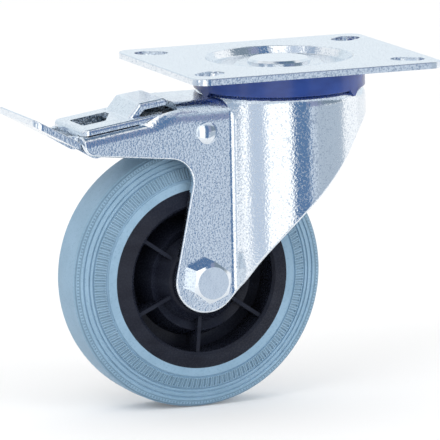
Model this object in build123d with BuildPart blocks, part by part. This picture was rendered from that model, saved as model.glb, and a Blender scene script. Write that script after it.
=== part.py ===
"""Light swivel castor with a toe brake, built as separate pieces in one frame.

Frame: millimetres, +Z up, origin on the swivel axis at the top face of the
mounting plate. The wheel trails towards -X and the bolt head faces -Y.
Every piece is written to parts/ as its own STEP file.
"""

import os
from math import acos, asin, atan2, cos, degrees, hypot, pi, radians, sin, sqrt

from build123d import *

os.makedirs("parts", exist_ok=True)

# Mounting plate
PLATE_LENGTH = 100.0
PLATE_WIDTH = 85.0
PLATE_THICKNESS = 2.5
PLATE_CORNER_RADIUS = 5.5
PLATE_EDGE_RADIUS = 0.4
SLOT_SPACING_X = 80.0
SLOT_SPACING_Y = 60.0
SLOT_WIDTH = 9.0
SLOT_RUN = 4.0

# Race pressed into the plate: a ring groove round a raised land
RACE_RIM_RADIUS = 29.6
RACE_GROOVE_OUTER = 26.3
RACE_GROOVE_INNER = 17.6
RACE_GROOVE_DEPTH = 3.0
RACE_LAND_RADIUS = 16.2
RACE_LAND_DEPTH = 2.0
RACE_WALL_RUN = 1.7
RACE_UNDER_SHIFT_INNER = 1.0
RACE_UNDER_SHIFT_OUTER = 1.2
RACE_BEND_RADIUS = 0.55

# Swivel bearing
UPPER_BALL_DIAMETER = 5.5
UPPER_BALL_RING = 22.0
UPPER_BALL_COUNT = 22
LOWER_BALL_DIAMETER = 5.0
LOWER_BALL_RING = 14.0
LOWER_BALL_COUNT = 15
BALL_CLEARANCE = 0.3
RIVET_RADIUS = 6.0
RIVET_HEAD_RADIUS = 12.0
RIVET_HEAD_TOP = -0.5
RIVET_HEAD_CHAMFER = 1.0
RIVET_HEAD_CHAMFER_DROP = 0.8
RIVET_FOOT_RADIUS = 9.0
RIVET_FOOT_HEIGHT = 2.5
RIVET_FOOT_CHAMFER = 1.5
RIVET_FOOT_CHAMFER_RISE = 1.0
CUP_RADIUS = 19.0
CUP_THICKNESS = 2.0
CUP_WALL = 1.8
CUP_RIM_TOP = -15.8
CUP_BEND_RADIUS = 1.6

# Fork: one pressed sheet, a round hood with two cheeks and two rear horns
SHEET = 2.5
HOOD_RADIUS = 32.6
CROWN_TOP = -10.5
CROWN_HOLE_RADIUS = 9.0
CHEEK_OUTER = 18.9
NECK_RADIUS = 3.0
NECK_FRONT = -22.0
SHOULDER_RADIUS = 4.5
WEB_TOP = -12.3
WEB_SHOULDER_RADIUS = 7.5
WEB_REAR = -48.0
WEB_FALL_START = (-46.0, -12.3)
WEB_FALL_END = (-64.0, -18.4)
WEB_FALL_SLOPE = 0.7
FORK_FOOT_RADIUS = 12.5
FORK_REAR_KNEE = (-43.9, -48.0)
FORK_REAR_CORNER = (-41.0, -34.3)
FORK_REAR_CORNER_RADIUS = 9.0
FORK_FRONT_EDGE = [
    (-24.6, -83.3),
    (-19.8, -75.2),
    (-12.9, -66.0),
    (-5.5, -57.9),
    (1.5, -51.0),
    (9.0, -43.3),
    (15.0, -36.3),
    (20.0, -29.8),
    (25.0, -24.6),
    (30.0, -21.3),
    (34.0, -20.5),
]
HORN_END = -86.0
HORN_START = -40.0
HORN_SHOULDER_RADIUS = 4.0
HORN_END_BOTTOM = -29.3
HORN_CORNER_RADIUS = 5.0
HORN_INNER = 13.2
SHEET_EDGE_RADIUS = 0.8

# Seal ring between plate and crown
SEAL_RADIUS = 32.5
SEAL_WALL = 1.6
SEAL_TOP = -3.0
SEAL_BOTTOM = -11.07
SEAL_LIP = 1.2
SEAL_TOP_LIP = 0.9
SEAL_EDGE_RADIUS = 0.4
SEAL_FLANGE_INNER = 26.5
SEAL_TAB_ANGLE = -51.5
SEAL_TAB_COUNT = 3
SEAL_TAB_WIDTH = 7.0
SEAL_TAB_TIP = -13.3
SEAL_TAB_DEPTH = 1.2
SEAL_TAB_ROOT = 0.5
SEAL_TAB_TIP_HALF = 0.6

# Axle and wheel bearing
AXLE_X = -38.0
AXLE_Z = -80.0
AXLE_RADIUS = 5.0
AXLE_HEAD_FLATS = 14.0
AXLE_HEAD_HEIGHT = 6.4
AXLE_HEAD_TURN = 8.0
AXLE_HEAD_CHAMFER = 0.9
HEAD_CHAMFER_SLOPE = 0.58
THREAD_CHAMFER = 1.0
NUT_FLATS = 14.0
NUT_HEIGHT = 8.0
NUT_COLLAR = 2.2
NUT_COLLAR_STEP = 0.8
THREAD_TAIL = 2.0
TUBE_WALL = 1.4
RUNNING_CLEARANCE = 0.05
ROLLER_DIAMETER = 3.0
ROLLER_COUNT = 12
ROLLER_LENGTH = 24.0
ROLLER_END_PLAY = 0.4
CAGE_WALL = 1.5
CAGE_LENGTH = 27.0
HUB_HALF = 15.6
WASHER_RADIUS = 11.0
WASHER_THICKNESS = 0.5

# Wheel centre
HUB_RADIUS = 13.8
HUB_RING_STEP = 0.8
CREST_RADIUS = 20.0
CREST_HALF = 12.0
VALLEY_RADIUS = 17.0
VALLEY_HALF = 10.4
WELL_RADIUS = 23.5
WELL_HALF = 3.0
RIM_INNER = 28.0
RIM_LIP_RADIUS = 29.0
RIM_LIP_HALF = 15.6
RIM_LIP_CHAMFER = 1.0
RIM_EDGE_RADIUS = 34.3
RIM_EDGE_HALF = 13.5
TYRE_SEAT_RADIUS = 32.0
TYRE_SEAT_HALF = 11.5
RIB_COUNT = 6
RIB_FIRST_ANGLE = 25.0
RIB_THICKNESS = 1.4
RIB_HALF = 14.0
RIB_HUB_BITE = 1.0
RIB_RIM_BITE = 0.5

# Tyre
TYRE_RADIUS = 50.0
TREAD_HALF = 7.2
SHOULDER_START = (47.3, 9.7)
SHOULDER_MIDDLE = (49.1, 9.1)
TREAD_CROWN = 0.2
BEAD_OUTER = (37.4, 13.1)
SERRATED_INNER = (38.4, 12.75)
SERRATED_OUTER = (42.3, 11.0)
SIDE_GROOVE_DEPTH = 0.5
SIDE_GROOVE_MOUTH = 0.35
SIDE_GROOVE_FLOOR = 0.15
SIDE_GROOVES = [(42.7, 10.75), (44.15, 10.5), (46.1, 9.95)]
BEAD_GROOVE_LEAN = 0.3
SERRATION_COUNT = 126
SERRATION_WIDTH = 0.95
SERRATION_DEPTH = 0.3
SERRATION_MARGIN = 0.45

# Brake: the rocker turns on its rivet, the pedal turns on its pin
ROCKER_PIVOT = (-37.0, -24.0)
PEDAL_PIVOT = (-79.0, -27.0)
ROCKER_TRAVEL = 4.2
ROCKER_REAR = -85.5
ROCKER_RAIL_FRONT = -52.5
ROCKER_TOP_AT_FRONT = -15.42
ROCKER_SLOPE = 0.1437
ROCKER_THICKNESS = 2.2
ROCKER_REST_GAP = 0.12
ROCKER_SIDE_GAP = 0.4
ROCKER_HALF = 16.5
ROCKER_CORNER_RADIUS = 3.0
ROCKER_EDGE_RADIUS = 1.4
ROCKER_LIP_BOTTOM = -23.0
ROCKER_LIP_HALF = 10.2
ROCKER_LIP_BITE = 1.2
ROCKER_WINDOW = [(-82.0, 8.0), (-82.0, -7.0), (-73.0, -7.0), (-65.5, 8.0)]
ROCKER_WINDOW_RADIUS = 1.2
TONGUE_HALF = 12.5
TONGUE_KERF = 0.4
TONGUE_THICKNESS = 2.5
TONGUE_RISE_START = -66.0
TONGUE_RISE_END = -61.6
TONGUE_ROOT_RUN = 1.5
TONGUE_UNDER_SHIFT = 1.9
TONGUE_BEND_RADIUS = 1.4
TONGUE_CORNER_RADIUS = 1.0
TONGUE_SLOT_REACH = 10.0
TONGUE_TOP_REAR = (-61.6, -11.95)
TONGUE_TOP_FRONT = (-50.4, -10.6)
TONGUE_EDGE_RADIUS = 1.5
EAR_INNER = 8.4
EAR_OUTER = 10.4
EAR_BOSS_RADIUS = 5.0
EAR_REAR = -74.0
EAR_BITE = 0.8
EAR_REAR_DEPTH = 2.6
EAR_KNEE_RUN = 10.0
EAR_KNEE_DEPTH = 5.2
EAR_NECK_RUN = 4.0
EAR_NECK_RISE = 0.6
EAR_ROOT_RUN = 0.5
EAR_WAIST = 0.4
ARM_MARGIN = 2.2
SHOE_GAP = 0.4
SHOE_START = 4.0
SHOE_END = 17.0
SHOE_THICKNESS = 2.0
SHOE_HALF = 7.6
SHOE_PLATE = 1.8
SHOE_RIVET_RADIUS = 1.5
SHOE_RIVET_HEAD = 2.5
SHOE_RIVET_HEAD_HEIGHT = 0.9
SHOE_RIVET_COVER = 0.6
SHOE_RIVET_SPACING = 8.0
ROCKER_RIVET_RADIUS = 3.0
ROCKER_RIVET_HEAD_RADIUS = 4.15
ROCKER_RIVET_HEAD_HEIGHT = 2.2
ROCKER_RIVET_HEAD_RIM = 0.8
SPRING_WIRE = 1.2
SPRING_RADIUS = 4.1
SPRING_TURNS = 5
SPRING_HALF = 5.2
PEDAL_REAR = -106.0
PEDAL_ROOT = -88.0
PEDAL_TOP_AT_REAR = -13.76
PEDAL_SLOPE = 0.552
PEDAL_THICKNESS = 2.4
PEDAL_TIP_LEAN = 0.3
PEDAL_HALF = 20.0
PEDAL_CORNER_RADIUS = 3.5
PEDAL_EDGE_RADIUS = 0.35
PEDAL_EAR_INNER = 10.7
PEDAL_EAR_OUTER = 12.9
PEDAL_HUB_RADIUS = 4.3
PEDAL_NOSE_REACH = 7.9
PEDAL_NOSE_ANGLE = 28.0
PEDAL_NOSE_RADIUS = 2.2
PEDAL_ROOT_CIRCLE = (-90.6, -23.6)
PEDAL_ROOT_RADIUS = 1.2
PEDAL_PIN_RADIUS = 2.5
PEDAL_PIN_POCKET = 1.4
PIN_FIT = 0.05


def strap(first, first_radius, second, second_radius):
    """Return the four corners that join two circles by their outer tangents."""
    run = hypot(second[0] - first[0], second[1] - first[1])
    heading = atan2(second[1] - first[1], second[0] - first[0])
    lean = acos((first_radius - second_radius) / run)
    return [
        (centre[0] + radius * cos(heading + side), centre[1] + radius * sin(heading + side))
        for centre, radius, side in (
            (first, first_radius, lean),
            (first, first_radius, -lean),
            (second, second_radius, -lean),
            (second, second_radius, lean),
        )
    ]


def mirrored(points):
    """Return points with their second coordinate negated, in reverse order."""
    return [(x, -y) for x, y in reversed(points)]


def at_wheel(points):
    """Move (radius, side) points to the section plane through the axle."""
    return [(AXLE_X + radius, side) for radius, side in points]


SWIVEL_AXIS = Axis.Z
AXLE_AXIS = Axis((AXLE_X, 0, AXLE_Z), (0, 1, 0))
WHEEL_SECTION = Plane.XY.offset(AXLE_Z)
CHEEK_INNER = CHEEK_OUTER - SHEET
CROWN_BOTTOM = CROWN_TOP - SHEET
RACE_UNDERSIDE = -(RACE_GROOVE_DEPTH + PLATE_THICKNESS)
UPPER_BALL_Z = RACE_UNDERSIDE - UPPER_BALL_DIAMETER / 2
LOWER_BALL_Z = CROWN_BOTTOM - LOWER_BALL_DIAMETER / 2
CUP_TOP = LOWER_BALL_Z - LOWER_BALL_DIAMETER / 2

# Mounting plate with its pressed race
with BuildPart() as top_plate:
    with BuildSketch(Plane.XY.offset(-PLATE_THICKNESS)):
        RectangleRounded(PLATE_LENGTH, PLATE_WIDTH, PLATE_CORNER_RADIUS)
        slot_angle = degrees(atan2(SLOT_SPACING_Y, SLOT_SPACING_X))
        for side_x in (-1, 1):
            for side_y in (-1, 1):
                with Locations((side_x * SLOT_SPACING_X / 2, side_y * SLOT_SPACING_Y / 2)):
                    SlotCenterToCenter(
                        SLOT_RUN,
                        SLOT_WIDTH,
                        rotation=side_x * side_y * slot_angle,
                        mode=Mode.SUBTRACT,
                    )
    extrude(amount=PLATE_THICKNESS)
    rim = top_plate.faces().sort_by(Axis.Z)[-1].outer_wire().edges()
    fillet(rim, PLATE_EDGE_RADIUS)
    with BuildSketch(Plane.XY.offset(-PLATE_THICKNESS)):
        Circle(RACE_RIM_RADIUS)
    extrude(amount=PLATE_THICKNESS, mode=Mode.SUBTRACT)
    race_outer_foot = RACE_GROOVE_OUTER + RACE_WALL_RUN + RACE_UNDER_SHIFT_OUTER
    with BuildSketch(Plane.XZ):
        with BuildLine():
            Polyline(
                (RACE_RIM_RADIUS, 0),
                (RACE_GROOVE_OUTER + RACE_WALL_RUN, 0),
                (RACE_GROOVE_OUTER, -RACE_GROOVE_DEPTH),
                (RACE_GROOVE_INNER, -RACE_GROOVE_DEPTH),
                (RACE_LAND_RADIUS, -RACE_LAND_DEPTH),
                (RIVET_RADIUS + RUNNING_CLEARANCE, -RACE_LAND_DEPTH),
                (RIVET_RADIUS + RUNNING_CLEARANCE, -RACE_LAND_DEPTH - PLATE_THICKNESS),
                (RACE_LAND_RADIUS - RACE_UNDER_SHIFT_INNER, -RACE_LAND_DEPTH - PLATE_THICKNESS),
                (RACE_GROOVE_INNER - RACE_UNDER_SHIFT_INNER, RACE_UNDERSIDE),
                (RACE_GROOVE_OUTER + RACE_UNDER_SHIFT_OUTER, RACE_UNDERSIDE),
                (race_outer_foot, -PLATE_THICKNESS),
                (RACE_RIM_RADIUS, -PLATE_THICKNESS),
                close=True,
            )
        make_face()
        bends = vertices().filter_by(
            lambda v: RACE_LAND_RADIUS - 1.5 < v.X < RACE_RIM_RADIUS - 0.2
        )
        fillet(bends, RACE_BEND_RADIUS)
    revolve(axis=SWIVEL_AXIS)
top_plate.part.label = "top_plate"
export_step(top_plate.part, "parts/top_plate.step")

# King rivet through the whole swivel bearing
with BuildPart() as king_rivet:
    cup_bottom = CUP_TOP - CUP_THICKNESS
    foot_bottom = cup_bottom - RIVET_FOOT_HEIGHT
    with BuildSketch(Plane.XZ):
        with BuildLine():
            Polyline(
                (0, RIVET_HEAD_TOP),
                (RIVET_HEAD_RADIUS - RIVET_HEAD_CHAMFER, RIVET_HEAD_TOP),
                (RIVET_HEAD_RADIUS, RIVET_HEAD_TOP - RIVET_HEAD_CHAMFER_DROP),
                (RIVET_HEAD_RADIUS, -RACE_LAND_DEPTH),
                (RIVET_RADIUS, -RACE_LAND_DEPTH),
                (RIVET_RADIUS, cup_bottom),
                (RIVET_FOOT_RADIUS, cup_bottom),
                (RIVET_FOOT_RADIUS, foot_bottom + RIVET_FOOT_CHAMFER_RISE),
                (RIVET_FOOT_RADIUS - RIVET_FOOT_CHAMFER, foot_bottom),
                (0, foot_bottom),
                close=True,
            )
        make_face()
    revolve(axis=SWIVEL_AXIS)
king_rivet.part.label = "king_rivet"
export_step(king_rivet.part, "parts/king_rivet.step")

# Two rings of bearing balls
with BuildPart() as upper_balls:
    with Locations((0, 0, UPPER_BALL_Z)):
        with PolarLocations(UPPER_BALL_RING, UPPER_BALL_COUNT):
            Sphere(UPPER_BALL_DIAMETER / 2)
upper_balls.part.label = "upper_balls"
export_step(upper_balls.part, "parts/upper_balls.step")

with BuildPart() as lower_balls:
    with Locations((0, 0, LOWER_BALL_Z)):
        with PolarLocations(LOWER_BALL_RING, LOWER_BALL_COUNT):
            Sphere(LOWER_BALL_DIAMETER / 2)
lower_balls.part.label = "lower_balls"
export_step(lower_balls.part, "parts/lower_balls.step")

# Cup that holds the lower balls
with BuildPart() as lower_cup:
    with BuildSketch(Plane.XZ):
        with BuildLine():
            Polyline(
                (RIVET_RADIUS + RUNNING_CLEARANCE, cup_bottom),
                (CUP_RADIUS, cup_bottom),
                (CUP_RADIUS, CUP_RIM_TOP),
                (CUP_RADIUS - CUP_WALL, CUP_RIM_TOP),
                (CUP_RADIUS - CUP_WALL, CUP_TOP),
                (RIVET_RADIUS + RUNNING_CLEARANCE, CUP_TOP),
                close=True,
            )
        make_face()
        outer_bend = vertices().filter_by(lambda v: v.X > CUP_RADIUS - 0.1).sort_by(Axis.Z)
        fillet(outer_bend[0], CUP_BEND_RADIUS)
    revolve(axis=SWIVEL_AXIS)
lower_cup.part.label = "lower_cup"
export_step(lower_cup.part, "parts/lower_cup.step")

# Fork, drawn from one sheet: a round drum under the crown, and a channel behind it
# whose web falls to the horns. Each outer blank gets a hollow one sheet smaller.
sheet_reach = 60.0
blank_bottom = AXLE_Z - FORK_FOOT_RADIUS - SHEET
rocker_drop = ROCKER_THICKNESS * sqrt(1 + ROCKER_SLOPE**2)


def rocker_top(x):
    """Height of the rocker plate's top face at x."""
    return ROCKER_TOP_AT_FRONT + ROCKER_SLOPE * (x - ROCKER_RAIL_FRONT)


def horn_top(x):
    """Height of the horns' top land at x, just under the resting rocker plate."""
    return rocker_top(x) - rocker_drop - ROCKER_REST_GAP


def along_top(edge):
    """Tell whether an edge runs along the top outline of a blank."""
    start, middle = edge @ 0, edge @ 0.5
    upright = hypot(middle.X - start.X, middle.Y - start.Y) < 0.01
    across = abs(middle.X - start.X) < 0.01
    central = abs(middle.Y) < 0.01 and abs(start.Y) < 0.01
    return middle.Z > HORN_END_BOTTOM and not (upright or across or central)


def drum(inset):
    """Return the round body under the crown, inset by this much."""
    with BuildPart(mode=Mode.PRIVATE) as body:
        with BuildSketch(Plane.XY.offset(blank_bottom)):
            Circle(HOOD_RADIUS - inset)
        extrude(amount=CROWN_TOP - inset - blank_bottom)
        fillet(body.edges().sort_by(Axis.Z)[-1], SHOULDER_RADIUS - inset)
    return body.part


def web_channel(inset):
    """Return the channel that joins the drum and falls behind it, inset by this much."""
    radius = HOOD_RADIUS - inset
    half = CHEEK_OUTER - inset
    neck_corner = -sqrt(radius**2 - half**2)
    fall_start = (WEB_FALL_START[0], WEB_FALL_START[1] - inset)
    fall_end = (WEB_FALL_END[0], WEB_FALL_END[1] - inset)
    with BuildPart(mode=Mode.PRIVATE) as body:
        with BuildSketch(Plane.XY.offset(blank_bottom)):
            Circle(radius)
            with Locations((WEB_FALL_END[0] / 2, 0)):
                Rectangle(-WEB_FALL_END[0], 2 * half)
            necks = vertices().filter_by(lambda v: abs(v.X - neck_corner) < 0.1)
            fillet(necks, NECK_RADIUS + inset)
        extrude(amount=WEB_TOP - inset - blank_bottom)
        with BuildSketch(Plane.XZ):
            with BuildLine():
                Spline(fall_start, fall_end, tangents=[(-1, 0), (-1, -WEB_FALL_SLOPE)])
                Polyline(
                    fall_end,
                    (fall_end[0] - 1, fall_end[1] - WEB_FALL_SLOPE),
                    (fall_end[0] - 1, 0),
                    (fall_start[0], 0),
                    fall_start,
                )
            make_face()
        extrude(amount=sheet_reach, both=True, mode=Mode.SUBTRACT)
        fillet(body.edges().filter_by(along_top), WEB_SHOULDER_RADIUS - inset)
    return body.part


def horn_channel(inset, rear):
    """Return the straight channel of the two horns, inset by this much."""
    half = CHEEK_OUTER - inset
    with BuildPart(mode=Mode.PRIVATE) as body:
        with BuildSketch(Plane.XZ):
            with BuildLine():
                Polyline(
                    (HORN_START, blank_bottom),
                    (HORN_START, horn_top(HORN_START) - inset),
                    (rear, horn_top(rear) - inset),
                    (rear, blank_bottom),
                    close=True,
                )
            make_face()
        extrude(amount=half, both=True)
        fillet(body.edges().filter_by(along_top), HORN_SHOULDER_RADIUS - inset)
    return body.part


def on_outline(edge):
    """Tell whether an edge is on the outer side of the fork's side outline."""
    middle = edge @ 0.5
    upright = hypot(middle.X - (edge @ 0).X, middle.Y - (edge @ 0).Y) < 0.01
    if middle.X > NECK_FRONT:
        outside = hypot(middle.X, middle.Y) > HOOD_RADIUS - 0.1
    else:
        outside = abs(middle.Y) > CHEEK_OUTER - 0.1
    return outside and not upright and middle.Z < FORK_FRONT_EDGE[-1][1] - 5


with BuildPart() as fork:
    add(drum(0))
    add(web_channel(0))
    add(horn_channel(0, HORN_END))
    for hollow in (drum(SHEET), web_channel(SHEET), horn_channel(SHEET, HORN_END - 10)):
        add(hollow, mode=Mode.SUBTRACT)

    # Side outline of hood, cheeks and horns
    with BuildSketch(Plane.XZ):
        with BuildLine():
            knee_run = hypot(FORK_REAR_KNEE[0] - AXLE_X, FORK_REAR_KNEE[1] - AXLE_Z)
            knee_heading = atan2(FORK_REAR_KNEE[1] - AXLE_Z, FORK_REAR_KNEE[0] - AXLE_X)
            foot_turn = knee_heading + acos(FORK_FOOT_RADIUS / knee_run)
            foot_rear = (
                AXLE_X + FORK_FOOT_RADIUS * cos(foot_turn),
                AXLE_Z + FORK_FOOT_RADIUS * sin(foot_turn),
            )
            foot_front = (
                AXLE_X + FORK_FOOT_RADIUS * cos(radians(-45)),
                AXLE_Z + FORK_FOOT_RADIUS * sin(radians(-45)),
            )
            Spline(foot_front, *FORK_FRONT_EDGE, tangents=[(1, 1), (1, 0)])
            Polyline(
                FORK_FRONT_EDGE[-1],
                (HOOD_RADIUS + 5, FORK_FRONT_EDGE[-1][1]),
                (HOOD_RADIUS + 5, 0),
                (HORN_END, 0),
                (HORN_END, HORN_END_BOTTOM),
                FORK_REAR_CORNER,
                foot_rear,
            )
            ThreePointArc(foot_rear, (AXLE_X, AXLE_Z - FORK_FOOT_RADIUS), foot_front)
        make_face()
        inner_corner = vertices().sort_by_distance(FORK_REAR_CORNER)[0]
        fillet(inner_corner, FORK_REAR_CORNER_RADIUS)
        horn_corner = vertices().sort_by_distance((HORN_END, HORN_END_BOTTOM))[0]
        fillet(horn_corner, HORN_CORNER_RADIUS)
    extrude(amount=sheet_reach, both=True, mode=Mode.INTERSECT)

    # Rounded outer edge of the sheet all round the side outline
    outline = fork.edges().filter_by(on_outline)
    fillet(outline, SHEET_EDGE_RADIUS)

    # Seat of the rocker plate between the shoulders, just above the horns' top land
    with BuildSketch(Plane.XZ):
        with BuildLine():
            Polyline(
                (WEB_REAR, horn_top(WEB_REAR) + ROCKER_REST_GAP / 2),
                (WEB_REAR, 0),
                (2 * HORN_END, 0),
                (2 * HORN_END, horn_top(2 * HORN_END) + ROCKER_REST_GAP / 2),
                close=True,
            )
        make_face()
    extrude(amount=ROCKER_HALF + ROCKER_SIDE_GAP, both=True, mode=Mode.SUBTRACT)

    # Open top between the horns, behind the web
    with BuildSketch(Plane.XY.offset(HORN_END_BOTTOM)):
        with Locations(((WEB_REAR + 2 * HORN_END) / 2, 0)):
            Rectangle(WEB_REAR - 2 * HORN_END, 2 * HORN_INNER)
    extrude(amount=-HORN_END_BOTTOM, mode=Mode.SUBTRACT)

    # Crown hole and the two ball tracks
    with Locations((0, 0, CROWN_TOP)):
        Cylinder(CROWN_HOLE_RADIUS, 4 * SHEET, mode=Mode.SUBTRACT)
    with Locations((0, 0, UPPER_BALL_Z)):
        Torus(UPPER_BALL_RING, UPPER_BALL_DIAMETER / 2 + BALL_CLEARANCE, mode=Mode.SUBTRACT)
    with Locations((0, 0, LOWER_BALL_Z)):
        Torus(LOWER_BALL_RING, LOWER_BALL_DIAMETER / 2 + BALL_CLEARANCE, mode=Mode.SUBTRACT)

    # Axle and rocker holes go through both cheeks, the pedal pockets stay blind
    with Locations(Location((AXLE_X, 0, AXLE_Z), (90, 0, 0))):
        Cylinder(AXLE_RADIUS + PIN_FIT, 2 * sheet_reach, mode=Mode.SUBTRACT)
    with Locations(Location((ROCKER_PIVOT[0], 0, ROCKER_PIVOT[1]), (90, 0, 0))):
        Cylinder(ROCKER_RIVET_RADIUS, 2 * sheet_reach, mode=Mode.SUBTRACT)
    with Locations(Location((PEDAL_PIVOT[0], 0, PEDAL_PIVOT[1]), (90, 0, 0))):
        pocket_length = 2 * (CHEEK_INNER + PEDAL_PIN_POCKET)
        Cylinder(PEDAL_PIN_RADIUS, pocket_length, mode=Mode.SUBTRACT)

# Seal ring with three clips hooked into the crown's shoulder
with BuildPart() as seal_ring:
    with BuildSketch(Plane.XZ):
        with BuildLine():
            arc_centre = (HOOD_RADIUS - SHOULDER_RADIUS, CROWN_TOP - SHOULDER_RADIUS)
            rest_run = sqrt(SHOULDER_RADIUS**2 - (SEAL_BOTTOM - arc_centre[1]) ** 2)
            rest_edge = (arc_centre[0] + rest_run, SEAL_BOTTOM)
            rest_turn = atan2(SEAL_BOTTOM - arc_centre[1], rest_run)
            rest_middle = (
                arc_centre[0] + SHOULDER_RADIUS * cos((rest_turn + pi / 2) / 2),
                arc_centre[1] + SHOULDER_RADIUS * sin((rest_turn + pi / 2) / 2),
            )
            ThreePointArc(rest_edge, rest_middle, (arc_centre[0], CROWN_TOP))
            Polyline(
                (arc_centre[0], CROWN_TOP),
                (SEAL_FLANGE_INNER, CROWN_TOP),
                (SEAL_FLANGE_INNER, CROWN_TOP + SEAL_LIP),
                (SEAL_RADIUS - SEAL_WALL, CROWN_TOP + SEAL_LIP),
                (SEAL_RADIUS - SEAL_WALL, SEAL_TOP - SEAL_LIP),
                (SEAL_RADIUS - SEAL_WALL - SEAL_TOP_LIP, SEAL_TOP - SEAL_LIP),
                (SEAL_RADIUS - SEAL_WALL - SEAL_TOP_LIP, SEAL_TOP),
                (SEAL_RADIUS, SEAL_TOP),
                (SEAL_RADIUS, SEAL_BOTTOM),
                rest_edge,
            )
        make_face()
        outer_rim = vertices().filter_by(lambda v: v.X > SEAL_RADIUS - 0.1)
        fillet(outer_rim, SEAL_EDGE_RADIUS)
    revolve(axis=SWIVEL_AXIS)
    tab_planes = [
        Plane(
            origin=(
                (SEAL_RADIUS - SEAL_TAB_DEPTH) * cos(turn),
                (SEAL_RADIUS - SEAL_TAB_DEPTH) * sin(turn),
                0,
            ),
            x_dir=(-sin(turn), cos(turn), 0),
            z_dir=(cos(turn), sin(turn), 0),
        )
        for turn in [
            radians(SEAL_TAB_ANGLE + 360 * i / SEAL_TAB_COUNT) for i in range(SEAL_TAB_COUNT)
        ]
    ]
    for tab_plane in tab_planes:
        with BuildSketch(tab_plane):
            with BuildLine():
                Polyline(
                    (-SEAL_TAB_WIDTH / 2, SEAL_BOTTOM + SEAL_TAB_ROOT),
                    (SEAL_TAB_WIDTH / 2, SEAL_BOTTOM + SEAL_TAB_ROOT),
                    (SEAL_TAB_TIP_HALF, SEAL_TAB_TIP),
                    (-SEAL_TAB_TIP_HALF, SEAL_TAB_TIP),
                    close=True,
                )
            make_face()
        extrude(amount=SEAL_TAB_DEPTH)
seal_ring.part.label = "seal_ring"
fork.part -= seal_ring.part
fork.part.label = "fork"
export_step(fork.part, "parts/fork.step")
export_step(seal_ring.part, "parts/seal_ring.step")


# Axle bolt, nut, tube and washers, all clamped in the fork
def hex_head(flats, height, turn):
    """Return a hexagon bar along -Y from the section plane, chamfered at its end."""
    with BuildPart(mode=Mode.PRIVATE) as head:
        with BuildSketch(Plane(origin=(0, 0, 0), x_dir=(1, 0, 0), z_dir=(0, -1, 0))):
            RegularPolygon(flats / 2, 6, major_radius=False, rotation=30 + turn)
        extrude(amount=height)
        with BuildSketch(Plane.XY):
            with BuildLine():
                corner = flats / sqrt(3)
                face = flats / 2 - AXLE_HEAD_CHAMFER
                drop = (corner - face) * HEAD_CHAMFER_SLOPE
                Polyline(
                    (0, 0),
                    (corner + 1, 0),
                    (corner + 1, -height + drop),
                    (corner, -height + drop),
                    (face, -height),
                    (0, -height),
                    close=True,
                )
            make_face()
        revolve(axis=Axis.Y, mode=Mode.INTERSECT)
    return head.part


with BuildPart() as axle_bolt:
    bolt_end = CHEEK_OUTER + NUT_HEIGHT + THREAD_TAIL
    with Locations((AXLE_X, -CHEEK_OUTER, AXLE_Z)):
        add(hex_head(AXLE_HEAD_FLATS, AXLE_HEAD_HEIGHT, -AXLE_HEAD_TURN))
    with BuildSketch(WHEEL_SECTION):
        with BuildLine():
            Polyline(
                (AXLE_X, -CHEEK_OUTER),
                (AXLE_X + AXLE_RADIUS, -CHEEK_OUTER),
                (AXLE_X + AXLE_RADIUS, bolt_end - THREAD_CHAMFER),
                (AXLE_X + AXLE_RADIUS - THREAD_CHAMFER, bolt_end),
                (AXLE_X, bolt_end),
                close=True,
            )
        make_face()
    revolve(axis=AXLE_AXIS)
axle_bolt.part.label = "axle_bolt"
export_step(axle_bolt.part, "parts/axle_bolt.step")

with BuildPart() as axle_nut:
    with Locations(Location((AXLE_X, CHEEK_OUTER, AXLE_Z), (180, 0, 0))):
        add(hex_head(NUT_FLATS, NUT_HEIGHT - NUT_COLLAR, AXLE_HEAD_TURN))
    with Locations(Location((AXLE_X, CHEEK_OUTER + NUT_HEIGHT / 2, AXLE_Z), (90, 0, 0))):
        Cylinder(NUT_FLATS / 2 - NUT_COLLAR_STEP, NUT_HEIGHT)
        Cylinder(AXLE_RADIUS, NUT_HEIGHT + 2, mode=Mode.SUBTRACT)
axle_nut.part.label = "axle_nut"
export_step(axle_nut.part, "parts/axle_nut.step")

tube_outer = AXLE_RADIUS + PIN_FIT + TUBE_WALL
with BuildPart() as axle_tube:
    with Locations(Location((AXLE_X, 0, AXLE_Z), (90, 0, 0))):
        Cylinder(tube_outer, 2 * CHEEK_INNER)
        Cylinder(AXLE_RADIUS + PIN_FIT, 2 * CHEEK_INNER, mode=Mode.SUBTRACT)
axle_tube.part.label = "axle_tube"
export_step(axle_tube.part, "parts/axle_tube.step")

with BuildPart() as hub_washers:
    for side in (-1, 1):
        washer_middle = side * (CHEEK_INNER - WASHER_THICKNESS / 2)
        with Locations(Location((AXLE_X, washer_middle, AXLE_Z), (90, 0, 0))):
            Cylinder(WASHER_RADIUS, WASHER_THICKNESS)
            Cylinder(tube_outer, WASHER_THICKNESS, mode=Mode.SUBTRACT)
hub_washers.part.label = "hub_washers"
export_step(hub_washers.part, "parts/hub_washers.step")

# Roller bearing that turns with the wheel
roller_ring = tube_outer + RUNNING_CLEARANCE + ROLLER_DIAMETER / 2
hub_bore = roller_ring + ROLLER_DIAMETER / 2
with BuildPart() as bearing_rollers:
    for i in range(ROLLER_COUNT):
        turn = 2 * pi * i / ROLLER_COUNT
        roller_spot = (AXLE_X + roller_ring * cos(turn), 0, AXLE_Z + roller_ring * sin(turn))
        with Locations(Location(roller_spot, (90, 0, 0))):
            Cylinder(ROLLER_DIAMETER / 2, ROLLER_LENGTH)
bearing_rollers.part.label = "bearing_rollers"
export_step(bearing_rollers.part, "parts/bearing_rollers.step")

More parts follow.
